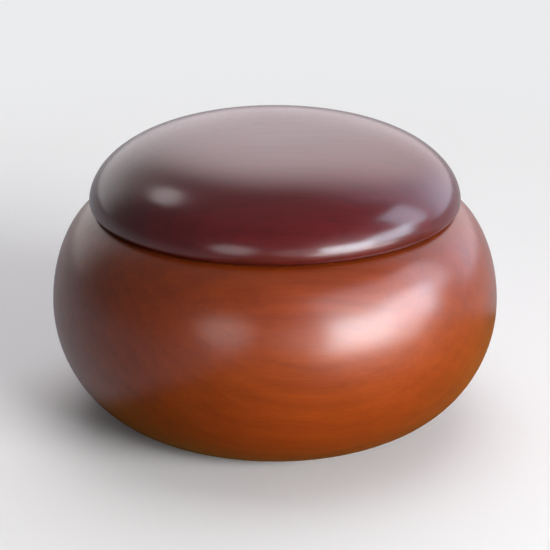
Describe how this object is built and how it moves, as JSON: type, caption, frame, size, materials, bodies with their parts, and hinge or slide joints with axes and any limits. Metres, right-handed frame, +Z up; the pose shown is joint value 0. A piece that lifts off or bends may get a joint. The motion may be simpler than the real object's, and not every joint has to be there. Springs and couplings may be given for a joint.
{
  "type": "go stone bowl",
  "caption": "Round turned wooden bowl for go stones, with a full belly, a lipped mouth and a domed lift-off lid whose hollow underside is a dish for captured stones.",
  "frame": {"origin": "centre of the foot, on the plane the bowl stands on", "axes": "+Z up along the turning axis and the way the lid lifts; X and Y are alike, because both pieces are solids of revolution"},
  "size_m": [0.15, 0.15, 0.099],
  "materials": {
    "bowl_wood": "turned wood, red-brown stain under a semi-gloss clear lacquer",
    "lid_wood": "turned wood, darker maroon stain under a semi-gloss clear lacquer"
  },
  "bodies": {
    "bowl": {"bowl": "bowl_wood"},
    "lid": {"lid": "lid_wood"}
  },
  "joints": [
    {"name": "lid_lift", "type": "slide", "parent": "bowl", "child": "lid", "axis": [0, 0, 1], "range_m": [0, 0.12]}
  ]
}
